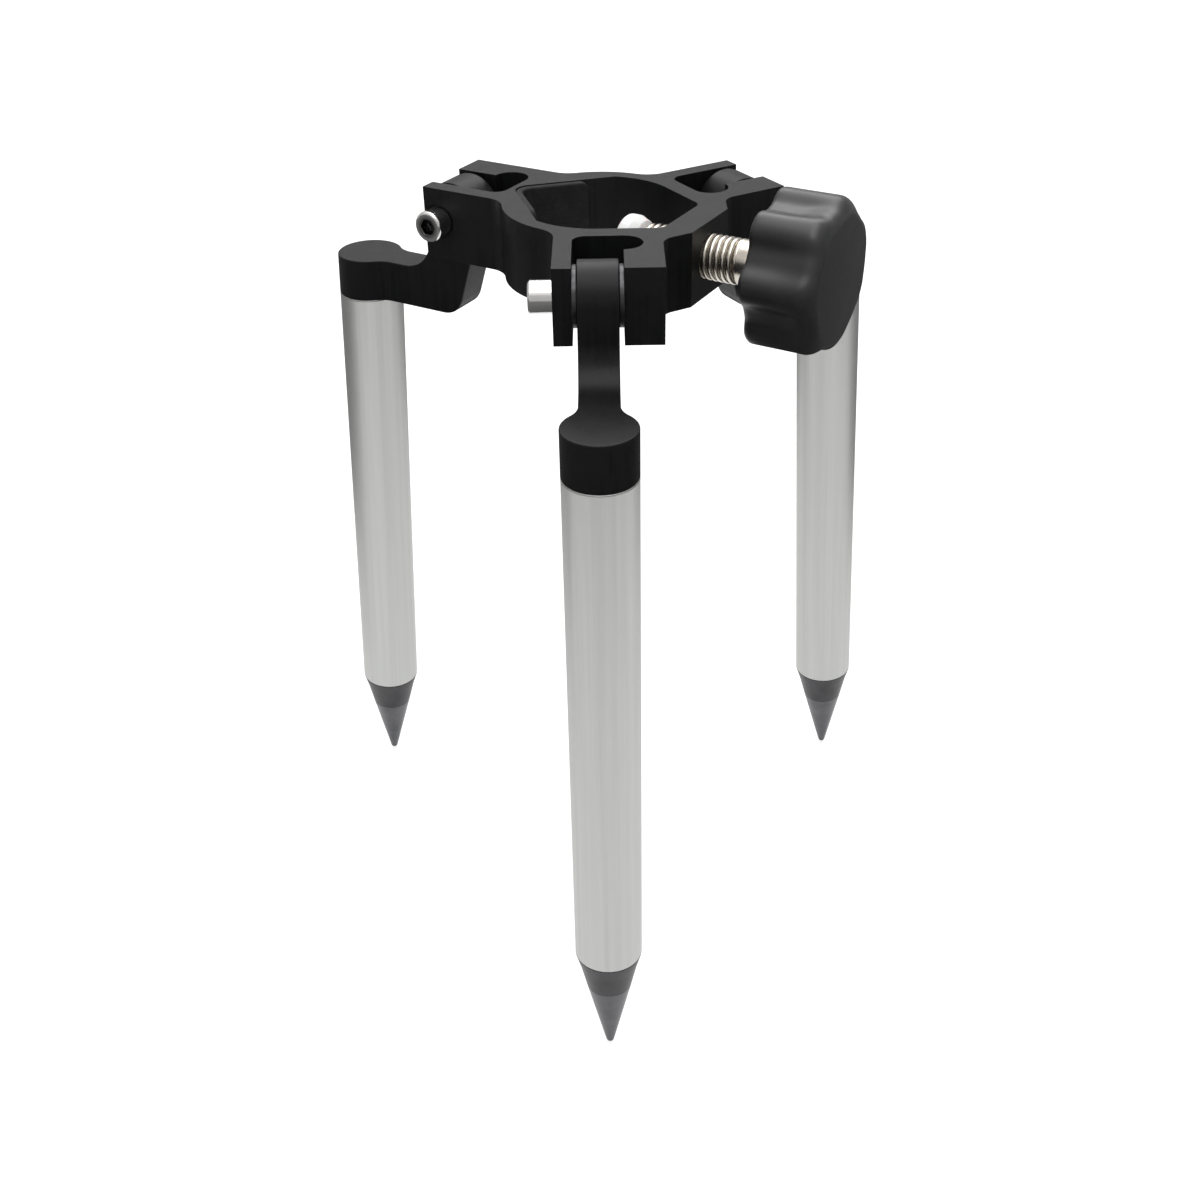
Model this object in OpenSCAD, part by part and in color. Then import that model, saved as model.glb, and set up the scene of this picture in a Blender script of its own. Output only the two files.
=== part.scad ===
// Small tripod that clamps on a survey prism pole.
// The origin is the middle of the hub, on the centre line of the pole opening.
// +Z is up. The front leg points along -Y. All lengths are in millimetres.

/* [Hub] */
// Height of the hub plate
hub_h = 20; // [16:0.5:26]
// Radius of the round pole opening
bore_r = 21.5; // [18:0.5:24]
// Wall of the ring around the opening
ring_wall = 4.1; // [3:0.1:6]
// Radius of the fillets between the ring and the hinge ears
web_fillet = 8; // [3:0.5:9]
// Distance from the hinge bolt to the end of the hinge ears
ear_past = 5; // [4:0.1:8]
// Thickness of the ear under the bolt head
ear_thin = 4.8; // [3.5:0.1:6]
// Thickness of the ear that holds the bolt thread
ear_thick = 10; // [8:0.5:12]

/* [Hinge] */
// Distance from the hub axis to the hinge bolt
hinge_reach = 44.2; // [42:0.1:46]
// Depth of the hinge bolt below the top of the hub
hinge_drop = 9; // [8.9:0.1:11]
// Radius of the arm's round knuckle
knuckle_r = 8.9; // [8:0.1:8.9]
// Width of the arm between its washers
arm_w = 10.3; // [8:0.1:12]
// Thickness of a friction washer
washer_t = 1.2; // [0.8:0.1:1.6]
// Outer radius of a friction washer
washer_r = 7.7; // [6:0.1:8]
// Radius of the hinge bolt shank
bolt_r = 2.5; // [2:0.1:3]
// Radius of the hinge bolt head
head_r = 4.25; // [3.6:0.05:5]
// Height of the hinge bolt head
head_h = 6.3; // [4:0.1:7]
// Width across the flats of the socket in the bolt head
socket_af = 4; // [3:0.5:4.5]
// Wall of the bearing bush in the knuckle
bush_wall = 1; // [0.6:0.1:1.5]
// Radius of the pocket's round end in the thick ear
pocket_r = 4.9; // [4:0.1:5.2]
// Distance of the pocket's round end past the slot
pocket_side = 5.0; // [3.5:0.1:5.5]

/* [Clamp screw] */
// Distance from the hub axis to the flat face of the screw boss
boss_reach = 33.5; // [31:0.5:36]
// Width of the flat face of the screw boss
boss_w = 20.4; // [17:0.2:22]
// Thickness of the hub wall that the screw runs through
boss_wall = 8.3; // [6:0.1:9]
// Height of the screw axis above the middle of the hub
screw_z = 0.5; // [-1:0.1:1]
// Outer radius of the screw thread
thread_r = 6; // [5:0.5:7]
// Pitch of the screw thread
thread_pitch = 1.75; // [1.25:0.25:2]
// Distance from the hub axis to the front of the pressure pad
tip_reach = 8.3; // [5:0.1:10]
// Length of the pressure pad on the screw's end
tip_len = 6; // [4:0.5:7]
// Radius of the pressure pad on the screw's end
tip_r = 7.3; // [6.8:0.1:9]
// Distance from the hub axis to the back of the knob
knob_reach = 50.5; // [50.5:0.5:54]

/* [Knob] */
// Outer radius of the knob over its lobes
knob_r = 20.2; // [19:0.1:22]
// Radius of one knob lobe
lobe_r = 6.2; // [5.6:0.1:7]
// Radius of the knob in the valleys between its lobes
valley_r = 17.2; // [16.5:0.1:17.8]
// Thickness of the knob
knob_t = 20.5; // [18:0.5:24]
// Number of knob lobes
knob_lobes = 7; // [7:1:7]
// Turn of the knob about its screw
knob_turn = 10.5; // [0:0.5:51]

/* [Pole seat] */
// Distance from the hub axis to each face of the V seat
seat_reach = 19; // [18:0.1:20]
// Thickness of the rubber liner in the V seat
liner_t = 1.8; // [1:0.1:2.5]
// Distance that the liner runs past the middle of each face
liner_past = 2.3; // [1:0.1:6]
// Rounding in the corner of the V seat
seat_round = 4; // [3:0.1:5]
// Thinnest wall between the V seat and the pocket behind it
seat_wall = 1.6; // [1.2:0.1:2.5]

/* [Legs] */
// Lean of each leg tube from upright
splay = 4; // [0:0.5:8]
// Outer radius of a leg tube
tube_r = 9.5; // [8:0.5:11]
// Wall of a leg tube
tube_wall = 1.5; // [1:0.1:2]
// Length of a leg tube
tube_len = 148.3; // [100:0.1:300]
// Distance from the hinge bolt to the tube's centre line at its top
tube_offset = 36; // [33:0.1:40]
// Distance from the hinge bolt down to the top of the tube
tube_drop = 30.3; // [28:0.1:34]
// Thickness of the arm's flat beam and of its round end on top of the tube
arm_t = 12.3; // [10:0.1:14]
// Lean of the arm's inner edge below the knuckle
shoulder_lean = 18; // [14:0.5:22]
// Length of the arm's spigot inside the tube
spigot_len = 16; // [10:1:24]
// Length of the collar below the tube
collar_len = 12; // [9:0.5:14]
// Length of the collar's blunt top taper
taper_len = 5; // [3:0.5:7]
// Radius of the collar below its blunt taper
taper_r = 8.1; // [7:0.1:9]
// Length of the collar and the steel point together
point_len = 36; // [30:1:50]
// Rounding of the steel point
point_round = 1.2; // [0.8:0.1:2]
// Radius of the stud that holds the steel point
stud_r = 4; // [3:0.5:5]

/* [Hidden] */
$fn = 64;
FRONT = 270;
LEFT = 150;
RIGHT = 30;
KNOB_AZ = 330;
fit = 0.05;
over = 1;
// Small overlap of a fillet's circle with the outlines that it joins
lap = 0.02;
hub_top = hub_h / 2;
ring_r = bore_r + ring_wall;
slot_w = arm_w + 2 * washer_t + 2 * fit;
thin_y = slot_w / 2 + ear_thin;
thick_y = slot_w / 2 + ear_thick;
hinge_z = hub_top - hinge_drop;
ear_reach = hinge_reach + ear_past;
pocket_reach = seat_reach * sqrt(2) - seat_round * (sqrt(2) - 1) + seat_wall;
bush_r = bolt_r + fit + bush_wall;
spot_depth = 0.3;
spot_r = head_r + 0.5;
thread_hole = ear_thick - 1.5;
shank_len = ear_thin - spot_depth + slot_w + thread_hole - 0.5;
socket_depth = head_h / 2;
pocket_corner = 3.5;
notch_fillet = 5;
bore_flat = boss_reach - boss_wall;
bore_corner = 3.5;
liner_gap = 0.3;
tip_back = tip_reach + tip_len;
pivot_stub_r = 3;
pivot_stub_len = tip_len - 2;
thread_depth = 0.6134 * thread_pitch;
thread_start = tip_back + 0.6;
thread_end = knob_reach - 3;
thread_turns = floor((thread_end - thread_start) / thread_pitch);
hex_af = 15;
hex_len = 11;
hex_inset = 2.5;
rim_round = 5;
back_round = 1.5;
tube_in_r = tube_r - tube_wall;
arm_top = tube_drop - arm_t;
arm_fillet = 9.5;
arm_corner = 7;
neck_fillet = 8;
collar_spigot = 14;
collar_end_r = taper_r - (taper_r - point_round) * (collar_len - taper_len)
    / (point_len - taper_len);
stud_len = 11;

// Unit vector at an angle, and a point at a distance along it
function polar(r, a) = [r * cos(a), r * sin(a)];

// A leg's own frame: X runs outward from the hub axis, Y across the leg.
// side is 1 where the thin ear is on the +Y side of the leg, and -1 where it is on the other side.
module leg_frame(az, side) rotate([0, 0, az]) scale_y(side) children();

// Mirrors across the leg's middle plane when side is -1
module scale_y(side) mirror([0, side < 0 ? 1 : 0, 0]) children();

// The frame of a leg's arm: the origin is on the hinge bolt
module arm_frame(az, side) leg_frame(az, side) translate([hinge_reach, 0, hinge_z]) children();

// Within an arm's frame: the origin is the middle of the tube's top, and -Z runs down the tube
module down_tube() translate([tube_offset, 0, -tube_drop]) rotate([0, -splay, 0]) children();

// Within an arm's frame: a block from the arm's underside up, wider than the arm
module above_underside(h) translate([0, -2 * tube_r, -tube_drop]) cube([2 * tube_offset, 4 * tube_r, h]);

// The frame of the clamp screw: Z runs outward along the screw from the hub axis
module screw_frame() rotate([0, 0, KNOB_AZ]) translate([0, 0, screw_z]) rotate([0, 90, 0]) children();

// A disc or plate centred on y = 0 with its axis along Y
module across(w) rotate([90, 0, 0]) linear_extrude(w, center = true) children();

// Corner filling between the ring and one side of a pair of ears
module web_fill(y_side, sign) {
    cy = y_side + web_fillet;
    cx = sqrt(pow(ring_r + web_fillet, 2) - cy * cy);
    touch = [cx, cy] * ring_r / (ring_r + web_fillet);
    mirror([0, sign < 0 ? 1 : 0, 0]) difference() {
        polygon([[cx, y_side], [cx, cy], touch, [bore_r * 0.8, y_side * 0.8], [cx, y_side * 0.8]]);
        translate([cx, cy]) circle(web_fillet + lap);
    }
}

// Outline of one pair of ears, before its slot is cut
module ears_outline() {
    translate([0, -thick_y]) square([ear_reach, thick_y + thin_y]);
    web_fill(thin_y, 1);
}

// Slot for the arm and the pocket behind its knuckle
module slot_outline() {
    half = slot_w / 2;
    c = pocket_corner;
    translate([pocket_reach + c, -half]) square([ear_reach + over, slot_w]);
    translate([pocket_reach, -half]) square([c + over, slot_w - c]);
    translate([pocket_reach + c, half - c]) circle(c);
    translate([pocket_reach, -half - pocket_side + pocket_r])
        square([2 * pocket_r, half + pocket_side - pocket_r]);
    translate([pocket_reach + pocket_r, -half - pocket_side + pocket_r]) circle(pocket_r);
}

// Boss that carries the clamp screw, in the frame of the knob axis
module boss_outline() {
    corner = [boss_reach, boss_w / 2];
    run = (corner[0] * cos(30) - corner[1] * sin(30) - thick_y) / cos(30);
    notch = [corner[0] - run * sin(30), corner[1] + run * cos(30)];
    polygon([[0, 0], [notch[0], -notch[1]], [corner[0], -corner[1]], corner, notch]);
    for (s = [0, 1]) mirror([0, s]) notch_fill(notch);
}

// Rounded notch between the screw boss and the neighbouring ear
module notch_fill(notch) {
    tangent = notch_fillet / tan(60);
    on_boss = notch + polar(tangent, -60);
    on_ear = notch + polar(tangent, 60);
    centre = on_boss + polar(notch_fillet, 30);
    difference() {
        polygon([notch * 0.94, on_boss, centre, on_ear]);
        translate(centre) circle(notch_fillet + lap);
    }
}

// Corner of the V seat: a square whose corner is the V, with that corner rounded
module seat_square(side, r) {
    translate([r, 0]) square([side - r, side]);
    translate([0, r]) square([side, side - r]);
    translate([r, r]) circle(r);
}

// Moves to the corner of the V seat, with its faces along X and Y
module seat_corner() rotate(KNOB_AZ - 180) translate([seat_reach * sqrt(2), 0]) rotate(135) children();

// The pole opening: round, with the V seat on one side and a flat for the screw on the other
module bore_outline() {
    flat_c = [bore_flat - bore_corner, (bore_r - bore_corner - (bore_flat - bore_corner) * cos(60)) / sin(60)];
    on_side = flat_c + polar(bore_corner, 60);
    on_ring = polar(bore_r - lap, 60);
    difference() {
        union() {
            circle(bore_r, $fn = 96);
            rotate(KNOB_AZ) {
                for (s = [0, 1]) mirror([0, s]) {
                    polygon([[0, 0], [bore_flat, 0], [bore_flat, flat_c[1]], on_side, on_ring]);
                    translate(flat_c) circle(bore_corner + lap);
                }
            }
        }
        seat_corner() {
            translate([-ring_r, -ring_r]) square([ring_r, 3 * ring_r]);
            translate([-ring_r, -ring_r]) square([3 * ring_r, ring_r]);
        }
    }
    seat_corner() seat_square(seat_reach, seat_round);
}

// Holes for one hinge bolt, with the shallow spot face under its head
module hinge_holes() {
    translate([hinge_reach, thin_y + over, hinge_z]) rotate([90, 0, 0])
        cylinder(r = bolt_r + fit, h = ear_thin + slot_w + thread_hole + over);
    translate([hinge_reach, thin_y + over, hinge_z]) rotate([90, 0, 0])
        cylinder(r = spot_r, h = spot_depth + over);
}

module hub_body() color([0.09, 0.09, 0.095]) difference() {
    translate([0, 0, -hub_top]) linear_extrude(hub_h) difference() {
        union() {
            circle(ring_r, $fn = 96);
            rotate(FRONT) mirror([0, 1]) ears_outline();
            rotate(LEFT) { ears_outline(); web_fill(thick_y, -1); }
            rotate(RIGHT) ears_outline();
            rotate(KNOB_AZ) boss_outline();
        }
        bore_outline();
        rotate(FRONT) mirror([0, 1]) slot_outline();
        rotate(LEFT) slot_outline();
        rotate(RIGHT) slot_outline();
    }
    leg_frame(FRONT, -1) hinge_holes();
    leg_frame(LEFT, 1) hinge_holes();
    leg_frame(RIGHT, 1) hinge_holes();
    screw_frame() translate([0, 0, bore_flat - over]) cylinder(r = thread_r + fit, h = boss_wall + 2 * over);
}

module v_liner() color([0.05, 0.05, 0.05])
    translate([0, 0, -hub_top + liner_gap]) linear_extrude(hub_h - 2 * liner_gap) seat_corner() difference() {
        seat_square(seat_reach + liner_past, seat_round + liner_gap);
        translate([liner_t, liner_t]) seat_square(seat_reach + liner_past, seat_round - liner_t / 2);
    }

// One ridge of the thread as points of its half section, starting at height z
function ridge(z) = [
    [thread_r - thread_depth, z],
    [thread_r, z + thread_pitch * 5 / 16],
    [thread_r, z + thread_pitch * 7 / 16],
    [thread_r - thread_depth, z + thread_pitch * 3 / 4]
];

module clamp_screw() color([0.75, 0.72, 0.68]) screw_frame() {
    ridges = [for (i = [0 : thread_turns - 1]) each ridge(thread_start + i * thread_pitch)];
    rotate_extrude() polygon(concat(
        [[0, tip_back], [thread_r - thread_depth, tip_back]], ridges,
        [[thread_r - thread_depth, thread_end], [thread_r, thread_end],
         [thread_r, knob_reach + hex_inset + over], [0, knob_reach + hex_inset + over]]));
    translate([0, 0, tip_back - pivot_stub_len]) cylinder(r = pivot_stub_r, h = pivot_stub_len + over);
    translate([0, 0, knob_reach + hex_inset]) cylinder(d = hex_af / cos(30), h = hex_len, $fn = 6);
}

module screw_tip() color([0.9, 0.9, 0.88]) screw_frame() difference() {
    translate([0, 0, tip_reach]) rotate_extrude() polygon([
        [0, 0], [tip_r - 1.6, 0], [tip_r - 0.5, 0.5], [tip_r, 1.6],
        [tip_r, tip_len * 0.55], [thread_r, tip_len], [0, tip_len]]);
    translate([0, 0, tip_back - pivot_stub_len - fit])
        cylinder(r = pivot_stub_r + fit, h = pivot_stub_len + over);
}

// Outline of the knob: round lobes joined by round valleys
module knob_outline() {
    step = 360 / knob_lobes;
    lobe_d = knob_r - lobe_r;
    gap = valley_r * valley_r + lobe_d * lobe_d - 2 * lobe_d * valley_r * cos(step / 2) - lobe_r * lobe_r;
    dent_r = gap / (2 * (lobe_r - valley_r + lobe_d * cos(step / 2)));
    dent_d = valley_r + dent_r;
    difference() {
        union() {
            polygon([for (i = [0 : knob_lobes - 1]) each [
                polar(lobe_d, i * step), polar(dent_d, (i + 0.5) * step)]]);
            for (i = [0 : knob_lobes - 1]) translate(polar(lobe_d, i * step)) circle(lobe_r);
        }
        for (i = [0 : knob_lobes - 1]) translate(polar(dent_d, (i + 0.5) * step)) circle(dent_r + lap / 4);
    }
}

// Half section of the round envelope that rounds the knob's rims, just clear of its lobes
module knob_envelope() {
    r = knob_r + lap;
    square([r - rim_round, knob_t]);
    translate([0, back_round]) square([r, knob_t - back_round - rim_round]);
    square([r - back_round, knob_t - rim_round]);
    translate([r - rim_round, knob_t - rim_round]) circle(rim_round);
    translate([r - back_round, back_round]) circle(back_round);
}

module knob() color([0.07, 0.07, 0.07]) screw_frame() difference() {
    translate([0, 0, knob_reach]) intersection() {
        rotate(knob_turn) linear_extrude(knob_t) knob_outline();
        rotate_extrude($fn = 96) knob_envelope();
    }
    translate([0, 0, knob_reach - over]) cylinder(r = thread_r, h = hex_inset + 2 * over);
    translate([0, 0, knob_reach + hex_inset]) cylinder(d = hex_af / cos(30), h = hex_len, $fn = 6);
}

// Side view of the arm: knuckle, leaning shoulder, round inner corner and flat beam
module arm_side() {
    k = knuckle_r;
    b = shoulder_lean;
    edge_x = (tube_drop * sin(b) - k) / cos(b);
    corner_x = ((tube_drop - arm_corner) * sin(b) - k + arm_corner) / cos(b);
    corner = [corner_x, -tube_drop + arm_corner];
    difference() {
        union() {
            circle(k);
            polygon([
                [0, 0], [-k * cos(b), -k * sin(b)], corner - polar(arm_corner, b),
                corner, [corner_x, -tube_drop], [tube_offset, -tube_drop],
                [tube_offset, -arm_top], [k + arm_fillet, -arm_top],
                [k + arm_fillet, -arm_top + arm_fillet], [k, -arm_top + arm_fillet], [k, 0]]);
            translate(corner) circle(arm_corner);
        }
        translate([k + arm_fillet, -arm_top + arm_fillet]) circle(arm_fillet);
    }
}

// Plan of the arm's round end, with the fillets where the beam widens into it
module end_outline() {
    reach = tube_r + neck_fillet - lap;
    cy = arm_w / 2 + neck_fillet - lap;
    cx = sqrt(reach * reach - cy * cy);
    circle(tube_r);
    for (s = [0, 1]) mirror([0, s]) difference() {
        polygon([[-cx, 0], [-cx, cy], [-cx, cy] * tube_r / reach, [0, 0]]);
        translate([-cx, cy]) circle(neck_fillet);
    }
}

// The round end stands on the leaning tube and is cut level above and below
module arm(az, side) color([0.1, 0.1, 0.105]) arm_frame(az, side) difference() {
    union() {
        across(arm_w) arm_side();
        intersection() {
            down_tube() translate([0, 0, -tube_r]) linear_extrude(arm_t + 2 * tube_r) end_outline();
            above_underside(arm_t);
        }
        down_tube() translate([0, 0, -spigot_len]) cylinder(r = tube_in_r - fit, h = spigot_len + 2);
    }
    rotate([90, 0, 0]) cylinder(r = bush_r, h = 2 * arm_w, center = true);
}

module bush(az, side) color([0.7, 0.52, 0.25]) arm_frame(az, side) rotate([90, 0, 0]) difference() {
    cylinder(r = bush_r, h = arm_w, center = true);
    cylinder(r = bolt_r + fit, h = 2 * arm_w, center = true);
}

// The tube's top is cut level, so it meets the arm's underside all round
module tube(az, side) color([0.72, 0.73, 0.72]) arm_frame(az, side) difference() {
    down_tube() translate([0, 0, -tube_len]) cylinder(r = tube_r, h = tube_len + 2);
    down_tube() translate([0, 0, -tube_len - over]) cylinder(r = tube_in_r, h = tube_len + 4);
    above_underside(4);
}

// The frame of a leg's lower end: the origin is the middle of the tube's end, and -Z points to the tip
module tip_frame(az, side)
    arm_frame(az, side) down_tube() translate([0, 0, -tube_len]) children();

module collar(az, side) color([0.16, 0.16, 0.17]) tip_frame(az, side) rotate_extrude() polygon([
    [stud_r + fit, -collar_len], [collar_end_r, -collar_len], [taper_r, -taper_len], [tube_r, 0],
    [tube_in_r - fit, 0], [tube_in_r - fit, collar_spigot], [stud_r + fit, collar_spigot]]);

module point(az, side) color([0.5, 0.5, 0.51]) tip_frame(az, side) {
    ball = [0, -point_len + point_round];
    drop = point_len - point_round - collar_len;
    lean = atan(collar_end_r / drop) - asin(point_round / norm([collar_end_r, drop]));
    rotate_extrude() polygon(concat(
        [[0, -collar_len + stud_len], [stud_r, -collar_len + stud_len], [stud_r, -collar_len],
         [collar_end_r, -collar_len]],
        [for (a = [-lean : (lean - 90) / 8 : -90]) ball + polar(point_round, a)]));
}

module hinge_bolt(az, side) color([0.82, 0.82, 0.82])
    leg_frame(az, side) translate([hinge_reach, thin_y - spot_depth, hinge_z]) rotate([90, 0, 0]) {
        cylinder(r = bolt_r, h = shank_len);
        difference() {
            rotate_extrude() polygon([
                [0, 0], [head_r, 0], [head_r, -head_h + 0.5], [head_r - 0.5, -head_h], [0, -head_h]]);
            translate([0, 0, -head_h - over])
                cylinder(d = socket_af / cos(30), h = socket_depth + over, $fn = 6);
        }
    }

// end is 1 for the washer under the bolt head's ear, and -1 for the one at the threaded ear
module washer(az, side, end) color([0.62, 0.62, 0.62])
    leg_frame(az, side) translate([hinge_reach, end * (slot_w - washer_t) / 2, hinge_z])
        rotate([90, 0, 0]) difference() {
            cylinder(r = washer_r, h = washer_t, center = true);
            cylinder(r = bolt_r + fit, h = 2 * washer_t, center = true);
        }

hub_body();
v_liner();
clamp_screw();
screw_tip();
knob();
arm(FRONT, -1);  // arm_front
arm(LEFT, 1);  // arm_left
arm(RIGHT, 1);  // arm_right
bush(FRONT, -1);  // bush_front
bush(LEFT, 1);  // bush_left
bush(RIGHT, 1);  // bush_right
tube(FRONT, -1);  // tube_front
tube(LEFT, 1);  // tube_left
tube(RIGHT, 1);  // tube_right
collar(FRONT, -1);  // collar_front
collar(LEFT, 1);  // collar_left
collar(RIGHT, 1);  // collar_right
point(FRONT, -1);  // point_front
point(LEFT, 1);  // point_left
point(RIGHT, 1);  // point_right
hinge_bolt(FRONT, -1);  // bolt_front
hinge_bolt(LEFT, 1);  // bolt_left
hinge_bolt(RIGHT, 1);  // bolt_right
washer(FRONT, -1, 1);  // washer_head_front
washer(LEFT, 1, 1);  // washer_head_left
washer(RIGHT, 1, 1);  // washer_head_right
washer(FRONT, -1, -1);  // washer_thread_front
washer(LEFT, 1, -1);  // washer_thread_left
washer(RIGHT, 1, -1);  // washer_thread_right
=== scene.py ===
import math

import bmesh
import bpy
from mathutils import Matrix, Vector

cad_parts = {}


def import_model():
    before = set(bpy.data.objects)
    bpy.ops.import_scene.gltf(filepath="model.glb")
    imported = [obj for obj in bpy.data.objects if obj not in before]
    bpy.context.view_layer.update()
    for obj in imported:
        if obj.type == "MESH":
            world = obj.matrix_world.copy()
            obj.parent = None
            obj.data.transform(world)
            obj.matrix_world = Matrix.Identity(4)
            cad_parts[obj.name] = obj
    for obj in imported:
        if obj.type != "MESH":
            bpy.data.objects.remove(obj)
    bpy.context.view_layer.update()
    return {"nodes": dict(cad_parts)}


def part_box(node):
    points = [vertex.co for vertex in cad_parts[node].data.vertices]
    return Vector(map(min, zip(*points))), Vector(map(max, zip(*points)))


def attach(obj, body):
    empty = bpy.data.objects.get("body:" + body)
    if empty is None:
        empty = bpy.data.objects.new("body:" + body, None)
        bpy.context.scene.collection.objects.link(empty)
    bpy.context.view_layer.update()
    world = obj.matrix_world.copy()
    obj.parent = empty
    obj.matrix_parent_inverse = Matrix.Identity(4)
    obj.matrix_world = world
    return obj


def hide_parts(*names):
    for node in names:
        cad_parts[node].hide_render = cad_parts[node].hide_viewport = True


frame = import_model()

NODES = frame["nodes"]
MM = 0.001
LEGS = {"front": 270, "left": 150, "right": 30}
SPLAY = 4

# Sizes of the part are in millimetres, and angles in degrees

# The hinge bolts: where their axis lies on a leg's azimuth, and the head's socket and rim, between which the
# heads' painted shade runs
HINGE_REACH, HINGE_Z, SOCKET_R, RIM_R = 44.2, 1.0, 2.2, 3.8

# The clamp screw with its pad and knob. In its frame Z runs outward along the screw from the hub axis
SCREW = (Matrix.Rotation(math.radians(330), 4, "Z") @ Matrix.Translation((0, 0, 0.5))
         @ Matrix.Rotation(math.radians(90), 4, "Y"))
TIP_REACH, TIP_LEN, TIP_R, STUB_DEPTH, STUB_R = 8.3, 6.0, 7.3, 2.0, 3.0
THREAD_R, PITCH = 6.0, 1.75
ROOT_R = THREAD_R - 0.6134 * PITCH
KNOB_REACH, KNOB_T, KNOB_R, VALLEY_R, LOBES, KNOB_TURN = 50.5, 20.5, 20.2, 17.2, 7, 10.5

# The V seat and its liner
SEAT_REACH, LINER_T, LINER_PAST, SEAT_ROUND, HUB_TOP = 19.0, 1.8, 2.3, 4.0, 10.0


# Mesh tools

def smoothstep(x):
    x = min(1.0, max(0.0, x))
    return x * x * (3 - 2 * x)


def piece(name, verts, faces, matrix, material, body, smooth=35):
    """A new object of the part from vertices in millimetres."""
    mesh = bpy.data.meshes.new(name)
    mesh.from_pydata([matrix @ Vector(v) * MM for v in verts], [], faces)
    mesh.update()
    bm = bmesh.new()
    bm.from_mesh(mesh)
    bmesh.ops.remove_doubles(bm, verts=bm.verts, dist=1e-7)
    bmesh.ops.recalc_face_normals(bm, faces=bm.faces)
    bm.to_mesh(mesh)
    bm.free()
    for p in mesh.polygons:
        p.use_smooth = True
    mesh.set_sharp_from_angle(angle=math.radians(smooth))
    mesh.materials.append(material)
    o = bpy.data.objects.new(name, mesh)
    bpy.context.scene.collection.objects.link(o)
    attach(o, body)
    return o


def grid_faces(rows, cols, wrap=True):
    """Quads between rows of points that close on themselves, or not."""
    return [(r * cols + c, r * cols + (c + 1) % cols, (r + 1) * cols + (c + 1) % cols, (r + 1) * cols + c)
            for r in range(rows - 1) for c in range(cols if wrap else cols - 1)]


def lathe(profile, steps=72):
    """Vertices and faces of a turned solid. The profile runs from axis to axis, in radius and height."""
    verts, faces, rings = [], [], []
    for r, z in profile:
        if r < 1e-6:
            rings.append([len(verts)])
            verts.append((0, 0, z))
        else:
            rings.append(list(range(len(verts), len(verts) + steps)))
            verts += [(r * math.cos(2 * math.pi * i / steps), r * math.sin(2 * math.pi * i / steps), z)
                      for i in range(steps)]
    for a, b in zip(rings, rings[1:]):
        for i in range(steps):
            j = (i + 1) % steps
            if len(a) == 1 and len(b) > 1:
                faces.append((a[0], b[j], b[i]))
            elif len(b) == 1 and len(a) > 1:
                faces.append((a[i], a[j], b[0]))
            elif len(a) > 1:
                faces.append((a[i], a[j], b[j], b[i]))
    return verts, faces


def arc(cx, cz, r, start, end, n):
    """Points of an arc in a profile, angles in degrees."""
    return [(cx + r * math.cos(math.radians(start + (end - start) * i / n)),
             cz + r * math.sin(math.radians(start + (end - start) * i / n))) for i in range(n + 1)]


def dress(name, material, width, segments=3, angle=28):
    """Gives a CAD node its material and a machined rounding of its edges, of a width in millimetres."""
    o = NODES[name]
    o.data.materials.clear()
    o.data.materials.append(material)
    with bpy.context.temp_override(object=o, active_object=o, selected_objects=[o]):
        bpy.ops.mesh.customdata_custom_splitnormals_clear()
    for p in o.data.polygons:
        p.use_smooth = True
    weld = o.modifiers.new("weld", "WELD")
    weld.merge_threshold = 2e-6
    flat = o.modifiers.new("flat", "DECIMATE")
    flat.decimate_type = "DISSOLVE"
    flat.angle_limit = math.radians(0.4)
    bevel = o.modifiers.new("edges", "BEVEL")
    bevel.width = width * MM
    bevel.segments = segments
    bevel.limit_method = "ANGLE"
    bevel.angle_limit = math.radians(angle)
    bevel.use_clamp_overlap = True
    bevel.miter_outer = "MITER_ARC"
    normals = o.modifiers.new("normals", "WEIGHTED_NORMAL")
    normals.weight = 60
    normals.keep_sharp = True


# Materials

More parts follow.
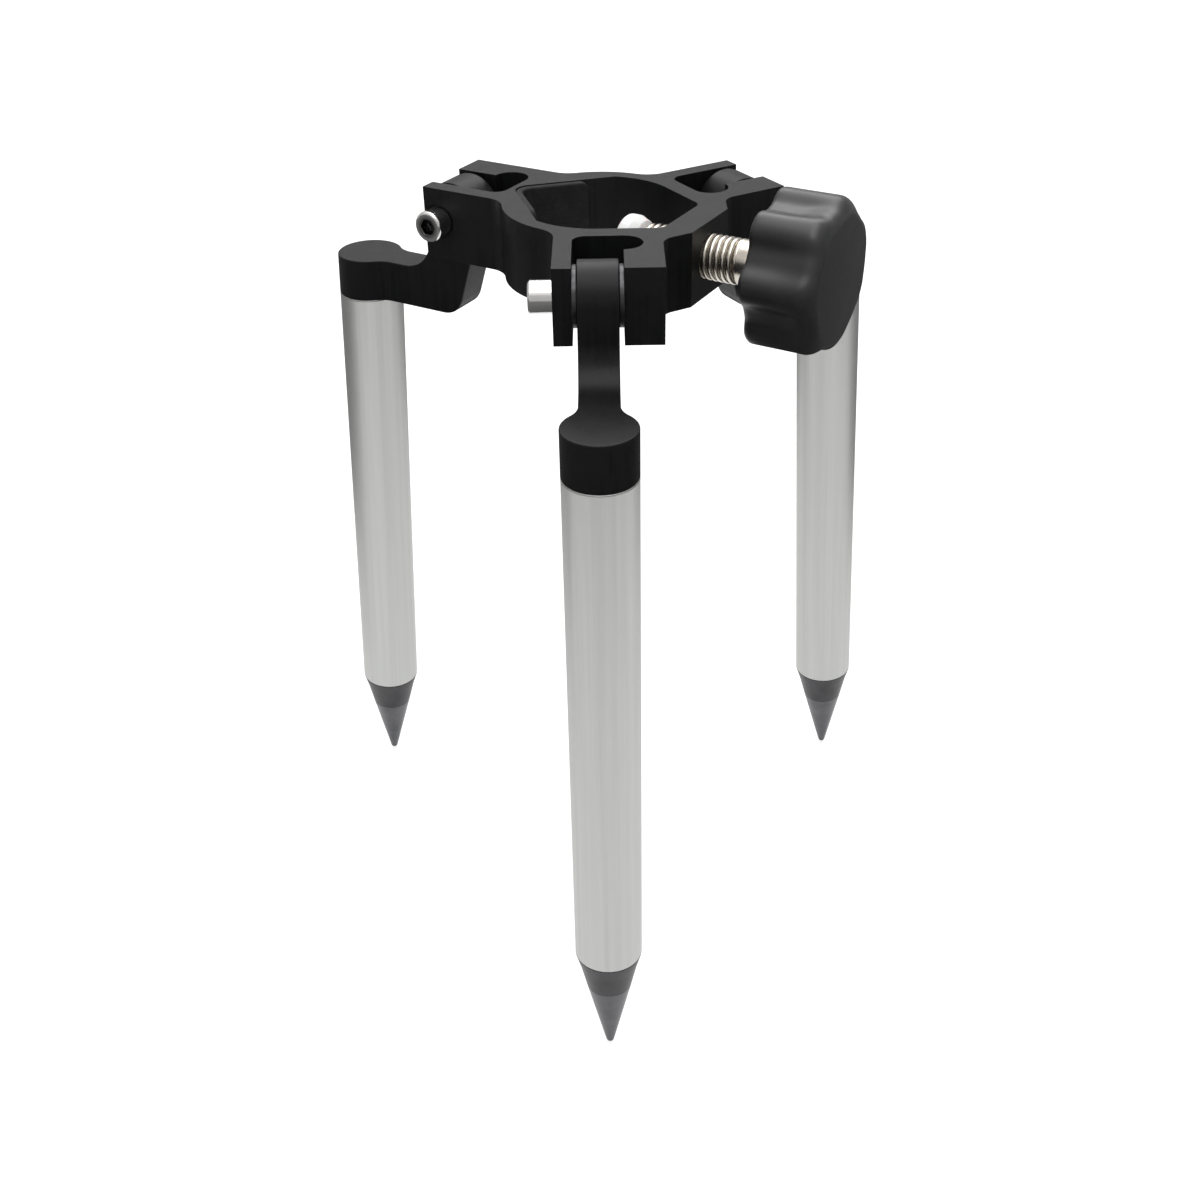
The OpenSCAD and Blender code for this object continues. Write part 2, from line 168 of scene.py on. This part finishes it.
class Finish:
    """A Principled material whose nodes are laid in code."""

    def __init__(self, name, **sockets):
        self.material = bpy.data.materials.new(name)
        self.material.use_nodes = True
        self.tree = self.material.node_tree
        self.bsdf = self.tree.nodes["Principled BSDF"]
        for socket, value in sockets.items():
            self.bsdf.inputs[socket.replace("_", " ")].default_value = value
        self.coords = self.node("ShaderNodeTexCoord").outputs["Object"]

    def node(self, kind, links=None, values=None, **settings):
        """A new node with its settings, its inputs' values and its inputs' links."""
        n = self.tree.nodes.new(kind)
        for key, value in settings.items():
            setattr(n, key, value)
        for key, value in (values or {}).items():
            n.inputs[key].default_value = value
        for key, source in (links or {}).items():
            self.tree.links.new(source, n.inputs[key])
        return n

    def turn(self, *degrees):
        """Turns the coordinates that later textures use, in degrees about X, Y and Z."""
        angles = tuple(math.radians(a) for a in degrees)
        self.coords = self.node("ShaderNodeMapping", {"Vector": self.coords}, {"Rotation": angles}).outputs[0]

    def noise(self, scale, detail=4.0, rough=0.55, stretch=(1, 1, 1)):
        """Noise over the coordinates, drawn out along an axis whose stretch is below 1."""
        place = self.node("ShaderNodeMapping", {"Vector": self.coords}, {"Scale": stretch}).outputs[0]
        return self.node("ShaderNodeTexNoise", {"Vector": place},
                         {"Scale": scale, "Detail": detail, "Roughness": rough}).outputs["Fac"]

    def spread(self, source, low, high, start=0.3, end=0.7):
        """The source's middle range as a value from low to high."""
        limits = {"From Min": start, "From Max": end, "To Min": low, "To Max": high}
        return self.node("ShaderNodeMapRange", {"Value": source}, limits).outputs["Result"]

    def tint(self, source, dark, light, start=0.35, end=0.65):
        """A colour that runs from dark to light over the source's middle range."""
        ramp = self.node("ShaderNodeValToRGB", {"Fac": source})
        ramp.color_ramp.elements[0].position = start
        ramp.color_ramp.elements[1].position = end
        ramp.color_ramp.elements[0].color = (*dark, 1)
        ramp.color_ramp.elements[1].color = (*light, 1)
        return ramp.outputs["Color"]

    def add(self, a, b):
        return self.node("ShaderNodeMath", {0: a, 1: b}, operation="ADD").outputs[0]

    def bumps(self, *layers):
        """Bump layers, each a height source, its strength and its depth in millimetres."""
        normal = None
        for height, strength, depth in layers:
            links = {"Height": height}
            if normal:
                links["Normal"] = normal
            values = {"Strength": strength, "Distance": depth * MM}
            normal = self.node("ShaderNodeBump", links, values).outputs["Normal"]
        self.set("Normal", normal)

    def set(self, socket, source):
        self.tree.links.new(source, self.bsdf.inputs[socket])


# The middle range of two noises added up
TWO_NOISES = (0.8, 1.2)


def anodised():
    """Black anodised aluminium, blasted fine, with faint cutter lines down the sides."""
    f = Finish("black_anodised", IOR=1.5, Specular_IOR_Level=0.18)
    cloud = f.noise(60, 5, 0.6)
    lines = f.noise(900, 2, 0.5, (1, 1, 0.03))
    grain = f.noise(5200, 2, 0.6)
    dark, light = (0.0035, 0.0035, 0.0037), (0.006, 0.006, 0.0064)
    f.set("Base Color", f.tint(f.add(cloud, lines), dark, light, *TWO_NOISES))
    f.set("Roughness", f.spread(f.add(cloud, grain), 0.36, 0.46, *TWO_NOISES))
    f.bumps((grain, 0.25, 0.02), (lines, 0.08, 0.01))
    return f.material


def rubber():
    """Dull black rubber with a fine grain."""
    f = Finish("liner_rubber", Specular_IOR_Level=0.22)
    cloud = f.noise(300, 4)
    grain = f.noise(4200, 3, 0.7)
    f.set("Base Color", f.tint(cloud, (0.004, 0.004, 0.004), (0.009, 0.009, 0.009)))
    f.set("Roughness", f.spread(grain, 0.55, 0.8))
    f.bumps((grain, 0.5, 0.05))
    return f.material


def knob_plastic():
    """Moulded black plastic, satin with a very fine texture."""
    f = Finish("knob_plastic", Specular_IOR_Level=0.55)
    cloud = f.noise(70, 4, 0.6)
    grain = f.noise(3600, 3, 0.6)
    f.set("Base Color", f.tint(cloud, (0.005, 0.005, 0.0054), (0.008, 0.008, 0.0084)))
    f.set("Roughness", f.spread(f.add(cloud, grain), 0.36, 0.46, *TWO_NOISES))
    f.bumps((grain, 0.12, 0.02), (f.noise(180, 3, 0.5), 0.05, 0.1))
    return f.material


def nickel():
    """Nickel plating over a rolled thread."""
    f = Finish("plated_screw", Metallic=1.0)
    cloud = f.noise(240, 4)
    f.set("Base Color", f.tint(cloud, (0.47, 0.43, 0.375), (0.62, 0.58, 0.525)))
    f.set("Roughness", f.spread(f.noise(900, 3, 0.5), 0.20, 0.28))
    f.bumps((f.noise(1500, 2, 0.5), 0.05, 0.01))
    return f.material


def nylon():
    """White moulded nylon, a little translucent."""
    f = Finish("white_nylon", Specular_IOR_Level=0.4, Subsurface_Weight=0.15, Subsurface_Scale=0.002)
    cloud = f.noise(200, 4)
    f.set("Base Color", f.tint(cloud, (0.74, 0.74, 0.73), (0.84, 0.84, 0.83)))
    f.set("Roughness", f.spread(f.noise(900, 3), 0.38, 0.55))
    f.bumps((f.noise(1400, 3), 0.15, 0.03))
    return f.material


def tube_finish(name, az):
    """Clear anodised tube: satin, with the drawn metal's faint lines along it."""
    f = Finish("tube_aluminium_" + name, Metallic=1.0)
    f.turn(0, 0, -az)
    f.turn(0, SPLAY, 0)
    lines = f.noise(420, 4, 0.65, (1, 1, 0.006))
    fine = f.noise(2400, 2, 0.6, (1, 1, 0.01))
    f.set("Base Color", f.tint(lines, (0.46, 0.465, 0.455), (0.51, 0.515, 0.505), 0.3, 0.7))
    f.set("Roughness", f.spread(fine, 0.46, 0.53))
    f.bumps((fine, 0.10, 0.01), (f.noise(5000, 2), 0.08, 0.01))
    return f.material


def turned_steel(name, dark, light, low, high):
    """Turned metal with faint tool rings round the leg's axis."""
    f = Finish(name, Metallic=1.0)
    cloud = f.noise(150, 4)
    rings = f.noise(400, 2, 0.5, (0.05, 0.05, 8))
    f.set("Base Color", f.tint(cloud, dark, light))
    f.set("Roughness", f.spread(f.add(cloud, rings), low, high, *TWO_NOISES))
    f.bumps((rings, 0.10, 0.02), (f.noise(4200, 2), 0.1, 0.01))
    return f.material


def plated_bolt_painted_shade(name, az):
    """A plated socket head, bright round its rim, with painted shade: its colour darkens in towards the
    socket.
    """
    f = Finish("plated_bolt_painted_shade_" + name, Metallic=1.0)
    f.set("Roughness", f.spread(f.noise(1600, 3), 0.10, 0.2))
    f.bumps((f.noise(2200, 3), 0.06, 0.01))
    f.turn(0, 0, -az)
    # Painted shade: the colour darkens from the rim's radius in to the socket's, round the bolt's axis
    off_axis = f.node("ShaderNodeMapping", {"Vector": f.coords},
                      {"Location": (-HINGE_REACH * MM, 0, -HINGE_Z * MM), "Scale": (1, 0, 1)}).outputs[0]
    reach = f.node("ShaderNodeVectorMath", {0: off_axis}, operation="LENGTH").outputs["Value"]
    socket_shade = f.spread(reach, 0, 1, SOCKET_R * MM, RIM_R * MM)
    f.set("Base Color", f.tint(socket_shade, (0.10, 0.10, 0.10), (0.68, 0.67, 0.66), 0, 1))
    return f.material


def polished(name, dark, light, low, high):
    """Smooth plain metal."""
    f = Finish(name, Metallic=1.0)
    f.set("Base Color", f.tint(f.noise(500, 4), dark, light))
    f.set("Roughness", f.spread(f.noise(1600, 3), low, high))
    f.bumps((f.noise(2200, 3), 0.06, 0.01))
    return f.material


BLACK = anodised()
RUBBER = rubber()
KNOB = knob_plastic()
NICKEL = nickel()
NYLON = nylon()
COLLAR = turned_steel("dark_collar", (0.05, 0.05, 0.052), (0.07, 0.07, 0.073), 0.38, 0.5)
POINT = turned_steel("point_steel", (0.085, 0.085, 0.09), (0.12, 0.12, 0.125), 0.30, 0.42)
WASHER = polished("washer_steel", (0.055, 0.055, 0.057), (0.09, 0.09, 0.093), 0.36, 0.48)
BRONZE = polished("bronze", (0.45, 0.29, 0.13), (0.58, 0.40, 0.20), 0.25, 0.4)


# CAD nodes that keep their shape

dress("hub_body", BLACK, 0.4)
for leg, azimuth in LEGS.items():
    dress("arm_" + leg, BLACK, 0.35)
    dress("bush_" + leg, BRONZE, 0.15, 2)
    dress("tube_" + leg, tube_finish(leg, azimuth), 0.3)
    dress("collar_" + leg, COLLAR, 0.15, 2, 12)
    dress("point_" + leg, POINT, 0.12, 2, 25)
    dress("bolt_" + leg, plated_bolt_painted_shade(leg, azimuth), 0.22, 3)
    dress("washer_head_" + leg, WASHER, 0.15, 2)
    dress("washer_thread_" + leg, WASHER, 0.15, 2)


# Clamp screw: a turned core with one continuous ridge wound round it

def clamp_screw():
    back = TIP_REACH + TIP_LEN
    stub, inside_knob, plain = TIP_REACH + STUB_DEPTH, KNOB_REACH + 2.5, 8.1
    start, end = back + 0.6, KNOB_REACH - plain
    verts, faces = lathe(
        [(0, stub), (STUB_R - 0.2, stub), (STUB_R, stub + 0.2), (STUB_R, back), (ROOT_R - 0.4, back),
         (ROOT_R, back + 0.4), (ROOT_R, end - 0.4), (ROOT_R + 0.35, end), (THREAD_R - 0.12, end + 0.9),
         (THREAD_R, end + 1.1), (THREAD_R, inside_knob), (0, inside_knob)], 96)

    # The ridge's section: places across it as shares of the pitch, under a rounded crest
    low, crest_drop, half = ROOT_R - 0.25, 0.75, (0.12, 0.25, 0.35, 0.42, 0.47)
    across = [-u for u in reversed(half)] + list(half)
    crest = [(u, THREAD_R - crest_drop * abs(2 * u) ** 3) for u in across]
    section = [(across[0], low)] + crest + [(across[-1], low)]

    # It starts thin and low and grows to its full size over the lead-in, in turns
    per_turn, offset, lead_in, thin = 72, 0.4, 0.6, 0.35
    count = int((end - start) / PITCH * per_turn)
    first = len(verts)
    for i in range(count + 1):
        a = 2 * math.pi * i / per_turn
        z = start + PITCH * (offset + i / per_turn)
        grow = smoothstep(i / per_turn / lead_in)
        width = PITCH * (thin + (1 - thin) * grow)
        for u, r in section:
            r = low + (r - low) * grow
            verts.append((r * math.cos(a), r * math.sin(a), z + u * width))
    n = len(section)
    for i in range(count):
        for k in range(n):
            a, b = first + i * n + k, first + i * n + (k + 1) % n
            faces.append((a, b, b + n, a + n))
    faces.append(tuple(first + k for k in range(n)))
    faces.append(tuple(first + count * n + k for k in reversed(range(n))))
    o = piece("clamp_screw_threaded", verts, faces, SCREW, NICKEL, "screw", 30)
    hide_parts("clamp_screw")


# Pressure pad with its soft rim

def pressure_pad():
    z0, z1, bore_end = TIP_REACH, TIP_REACH + TIP_LEN, TIP_REACH + STUB_DEPTH
    profile = ([(0, z0 + 0.25), (3.2, z0 + 0.22), (5.2, z0)]
               + arc(TIP_R - 1.6, z0 + 1.6, 1.6, -90, 0, 8) + arc(TIP_R - 0.8, z0 + 3.4, 0.8, 0, 50, 5)
               + [(THREAD_R + 0.3, z1 - 0.25), (THREAD_R, z1),
                  (STUB_R + 0.1, z1), (STUB_R + 0.05, bore_end), (0, bore_end)])
    verts, faces = lathe(profile, 72)
    o = piece("pressure_pad", verts, faces, SCREW, NYLON, "pad", 40)
    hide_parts("screw_tip")


# Lobed knob with a soft front rim

def knob():
    bore_depth, bore_edge, back_r, back_rim = 2.0, 0.3, 11.0, 1.5
    steepness, fade, fade_from, fade_over = 1.45, 0.45, 8, 12
    crown, rim, face_r = 0.6, 4.6, KNOB_R - 5.2
    top = KNOB_T - crown

    def outline(a):
        """The radius at an angle on the back: round lobes with steep flanks."""
        wave = math.sin(steepness * math.cos(LOBES * a)) / math.sin(steepness)
        return (KNOB_R + VALLEY_R) / 2 + (KNOB_R - VALLEY_R) / 2 * wave

    def side(a, z):
        """The outline at a height on the knob: its valleys grow shallower towards the face."""
        r = outline(a)
        return r + (KNOB_R - r) * fade * smoothstep((z - fade_from) / fade_over)

    around = LOBES * 40
    angles = [2 * math.pi * i / around for i in range(around)]
    verts, rings = [], 0

    def ring(radius_at, z):
        nonlocal rings
        for a in angles:
            r = radius_at(a)
            turned = a + math.radians(KNOB_TURN)
            verts.append((r * math.cos(turned), r * math.sin(turned), KNOB_REACH + z))
        rings += 1

    ring(lambda a: THREAD_R, bore_depth)
    ring(lambda a: THREAD_R, bore_edge)
    ring(lambda a: THREAD_R + bore_edge, 0.0)
    ring(lambda a: back_r, 0.0)
    for t in (math.radians(15) * i for i in range(7)):
        ring(lambda a: outline(a) - back_rim * (1 - math.sin(t)), back_rim * (1 - math.cos(t)))
    for i in range(1, 13):
        z = back_rim + (top - rim - back_rim) * i / 13
        ring(lambda a: side(a, z), z)
    for t in (math.radians(5) * i for i in range(18)):
        z = top - rim + rim * math.sin(t)
        ring(lambda a: face_r + (side(a, z) - face_r) * math.cos(t), z)
    for share in (1.0, 0.93, 0.8, 0.6, 0.4, 0.2, 0.06):
        ring(lambda a: face_r * share, top + crown * (1 - share * share))
    faces = grid_faces(rings, around)
    centre, last = len(verts), (rings - 1) * around
    verts.append((0, 0, KNOB_REACH + top + crown))
    faces += [(last + i, last + (i + 1) % around, centre) for i in range(around)]
    bore_end = len(verts)
    verts.append((0, 0, KNOB_REACH + bore_depth))
    faces += [((i + 1) % around, i, bore_end) for i in range(around)]
    o = piece("knob_lobed", verts, faces, SCREW, KNOB, "screw", 50)
    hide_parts("knob")


# V liner: a bent rubber sheet with round corners and moulded pips on its face

def liner():
    corner = SEAT_REACH * math.sqrt(2)
    place = (Matrix.Rotation(math.radians(LEGS["left"]), 4, "Z") @ Matrix.Translation((corner, 0, 0))
             @ Matrix.Rotation(math.radians(135), 4, "Z"))
    inner_r = SEAT_ROUND - LINER_T / 2
    straight = SEAT_REACH + LINER_PAST - LINER_T - inner_r
    bend = inner_r * math.pi / 2
    half, height = straight + bend / 2, HUB_TOP - 0.3
    corner_r, rim_r, bare_rim, glue_gap = 2.5, 0.5, 1.2, 0.02
    pip_pitch, pip_share, pip_height = 1.5, 0.33, 0.22
    step = 0.32
    nu, nz = int(2 * half / step) + 1, int(2 * height / step) + 1

    def face_point(u):
        """A point and its normal on the liner's face at the distance u along it."""
        c = LINER_T + inner_r
        if u < -bend / 2:
            return Vector((LINER_T, c + (-bend / 2 - u))), Vector((1, 0))
        if u > bend / 2:
            return Vector((c + (u - bend / 2), LINER_T)), Vector((0, 1))
        a = math.pi + (u + bend / 2) / inner_r
        n = Vector((-math.cos(a), -math.sin(a)))
        return Vector((c, c)) - n * inner_r, n

    def pip(u, z):
        """The height of the pips, which stand in staggered rows."""
        row = math.floor(z / pip_pitch + 0.5)
        du = (u / pip_pitch + (0.5 if row % 2 else 0)) % 1 - 0.5
        dz = z / pip_pitch - row
        d = math.hypot(du, dz) / pip_share
        return pip_height * (1 - smoothstep(d)) if d < 1 else 0.0

    def front(u, z):
        """The face's height over the flat sheet: rounded off at its outline, with pips away from it."""
        du, dz = half - abs(u), height - abs(z)
        if du < corner_r and dz < corner_r:
            inside = corner_r - math.hypot(corner_r - du, corner_r - dz)
        else:
            inside = min(du, dz)
        from_flat = 1 - min(max(inside, 0.0), rim_r) / rim_r
        drop = rim_r * (1 - math.sqrt(max(0.0, 1 - from_flat ** 2)))
        return (pip(u, z) if inside > bare_rim else 0.0) - drop

    def sheet(height_at):
        """Rows of points over the sheet, drawn in where they lie past its round corners."""
        points = []
        for j in range(nz):
            for i in range(nu):
                u, z = -half + 2 * half * i / (nu - 1), -height + 2 * height * j / (nz - 1)
                past_u, past_z = corner_r - (half - abs(u)), corner_r - (height - abs(z))
                reach = math.hypot(past_u, past_z)
                if past_u > 0 and past_z > 0 and reach > corner_r:
                    u = math.copysign(half - corner_r + past_u * corner_r / reach, u)
                    z = math.copysign(height - corner_r + past_z * corner_r / reach, z)
                p, n = face_point(u)
                p = p + n * height_at(u, z)
                points.append((p.x, p.y, z))
        return points

    verts = sheet(front)
    back_start = len(verts)
    verts += sheet(lambda u, z: glue_gap - LINER_T)
    faces = grid_faces(nz, nu, wrap=False)
    faces += [tuple(back_start + i for i in reversed(f)) for f in grid_faces(nz, nu, wrap=False)]
    border = ([(0, i) for i in range(nu)] + [(j, nu - 1) for j in range(1, nz)]
              + [(nz - 1, i) for i in range(nu - 2, -1, -1)] + [(j, 0) for j in range(nz - 2, 0, -1)])
    for (j0, i0), (j1, i1) in zip(border, border[1:] + border[:1]):
        a, b = j0 * nu + i0, j1 * nu + i1
        faces.append((b, a, back_start + a, back_start + b))
    o = piece("v_liner_sheet", verts, faces, place, RUBBER, "hub", 60)
    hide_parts("v_liner")


clamp_screw()
pressure_pad()
knob()
liner()


# Stage: floor, world, cards and lamps in metres, and the camera

def seen_directly(tree):
    """A value of 1 for what the camera, reflections and clear pieces see."""
    rays = tree.nodes.new("ShaderNodeLightPath")
    seen = rays.outputs["Is Camera Ray"]
    for kind in ("Is Glossy Ray", "Is Transmission Ray"):
        either = tree.nodes.new("ShaderNodeMath")
        either.operation = "MAXIMUM"
        tree.links.new(seen, either.inputs[0])
        tree.links.new(rays.outputs[kind], either.inputs[1])
        seen = either.outputs[0]
    return seen


def floor():
    """A disc just under the points. It shows white, with the shadows drawn faintly on it."""
    level = min(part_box("point_" + leg)[0].z for leg in LEGS) - 0.0002
    verts, faces = lathe([(r, 0) for r in (0, 0.5, 2, 8)], 48)
    mesh = bpy.data.meshes.new("floor")
    mesh.from_pydata([(x, y, level) for x, y, z in verts], [], faces)
    o = bpy.data.objects.new("floor", mesh)
    bpy.context.scene.collection.objects.link(o)
    m = bpy.data.materials.new("floor")
    m.use_nodes = True
    t = m.node_tree
    t.nodes.clear()
    out = t.nodes.new("ShaderNodeOutputMaterial")
    plain = t.nodes.new("ShaderNodeBsdfDiffuse")
    plain.inputs["Color"].default_value = (0.8, 0.8, 0.8, 1)
    shaded = t.nodes.new("ShaderNodeBsdfDiffuse")
    shaded.inputs["Color"].default_value = (0.42, 0.42, 0.42, 1)
    glow = t.nodes.new("ShaderNodeEmission")
    glow.inputs["Strength"].default_value = 0.72
    both = t.nodes.new("ShaderNodeAddShader")
    t.links.new(shaded.outputs[0], both.inputs[0])
    t.links.new(glow.outputs[0], both.inputs[1])
    mix = t.nodes.new("ShaderNodeMixShader")
    t.links.new(seen_directly(t), mix.inputs[0])
    t.links.new(plain.outputs[0], mix.inputs[1])
    t.links.new(both.outputs[0], mix.inputs[2])
    t.links.new(mix.outputs[0], out.inputs["Surface"])
    mesh.materials.append(m)


def world():
    """White where it is seen directly, and a little weaker as light."""
    w = bpy.data.worlds.new("studio")
    bpy.context.scene.world = w
    w.use_nodes = True
    t = w.node_tree
    back = t.nodes["Background"]
    strength = t.nodes.new("ShaderNodeMapRange")
    strength.inputs["To Min"].default_value = 0.62
    strength.inputs["To Max"].default_value = 1.0
    t.links.new(seen_directly(t), strength.inputs["Value"])
    back.inputs["Color"].default_value = (1, 1, 1, 1)
    t.links.new(strength.outputs["Result"], back.inputs["Strength"])


def lamp(name, place, target, size, power):
    """A soft rectangular lamp of a power in watts."""
    data = bpy.data.lights.new(name, "AREA")
    data.shape = "RECTANGLE"
    data.size, data.size_y = size
    data.energy = power
    o = bpy.data.objects.new(name, data)
    o.location = place
    o.rotation_euler = (Vector(target) - Vector(place)).to_track_quat("-Z", "Y").to_euler()
    bpy.context.scene.collection.objects.link(o)


def card(name, verts, faces, shade):
    """A grey studio card that only reflections see."""
    mesh = bpy.data.meshes.new(name)
    mesh.from_pydata(verts, [], faces)
    o = bpy.data.objects.new(name, mesh)
    bpy.context.scene.collection.objects.link(o)
    m = bpy.data.materials.new(name)
    m.use_nodes = True
    sockets = m.node_tree.nodes["Principled BSDF"].inputs
    sockets["Base Color"].default_value = (shade, shade, shade, 1)
    sockets["Roughness"].default_value = 1.0
    sockets["Specular IOR Level"].default_value = 0.0
    mesh.materials.append(m)
    o.visible_camera = False
    o.visible_shadow = False
    o.visible_diffuse = False


def ring_card():
    """A flat ring below the arms that keeps the white floor out of the black parts' sides."""
    inner, outer, z, steps = 0.045, 0.30, -0.0297, 48
    verts = [(r * math.cos(2 * math.pi * i / steps), r * math.sin(2 * math.pi * i / steps), z)
             for r in (inner, outer) for i in range(steps)]
    card("ring_card", verts, grid_faces(2, steps), 0.14)


def standing_card(name, reach, low, high, start, end, shade):
    """A bend of card standing round the part, from one azimuth to another."""
    azimuths = [math.radians(az) for az in range(start, end + 1, 5)]
    verts = [(reach * math.cos(a), reach * math.sin(a), z) for z in (low, high) for a in azimuths]
    card(name, verts, grid_faces(2, len(azimuths), wrap=False), shade)


def camera():
    """The camera as fitted to the photograph."""
    place = Vector((2.283, -382.617, 136.343)) * MM
    yaw, pitch, roll = (math.radians(a) for a in (-0.553, 33.573, -1.119))
    forward = Vector((math.sin(yaw) * math.cos(pitch), math.cos(yaw) * math.cos(pitch), -math.sin(pitch)))
    level = Vector((math.cos(yaw), -math.sin(yaw), 0))
    up = level.cross(forward)
    right = level * math.cos(roll) + up * math.sin(roll)
    top = up * math.cos(roll) - level * math.sin(roll)
    data = bpy.data.cameras.new("camera")
    data.sensor_width = 36
    data.lens = 43.745
    data.clip_start, data.clip_end = 0.01, 50
    o = bpy.data.objects.new("camera", data)
    turn = Matrix((right, top, -forward)).transposed().to_4x4()
    o.matrix_world = Matrix.Translation(place) @ turn
    bpy.context.scene.collection.objects.link(o)
    bpy.context.scene.camera = o


floor()
world()
ring_card()
standing_card("back_card", 0.30, -0.212, -0.032, 5, 195, 0.30)
standing_card("surround_card", 0.80, -0.2, 0.48, 0, 360, 0.5)
lamp("key", (0, -0.05, 1.4), (0, 0, 0), (1.0, 2.2), 18)
lamp("back", (0.1, 1.3, 1.2), (0, 0, 0), (1.8, 1.0), 17)
camera()
bpy.context.scene.view_settings.view_transform = "Standard"
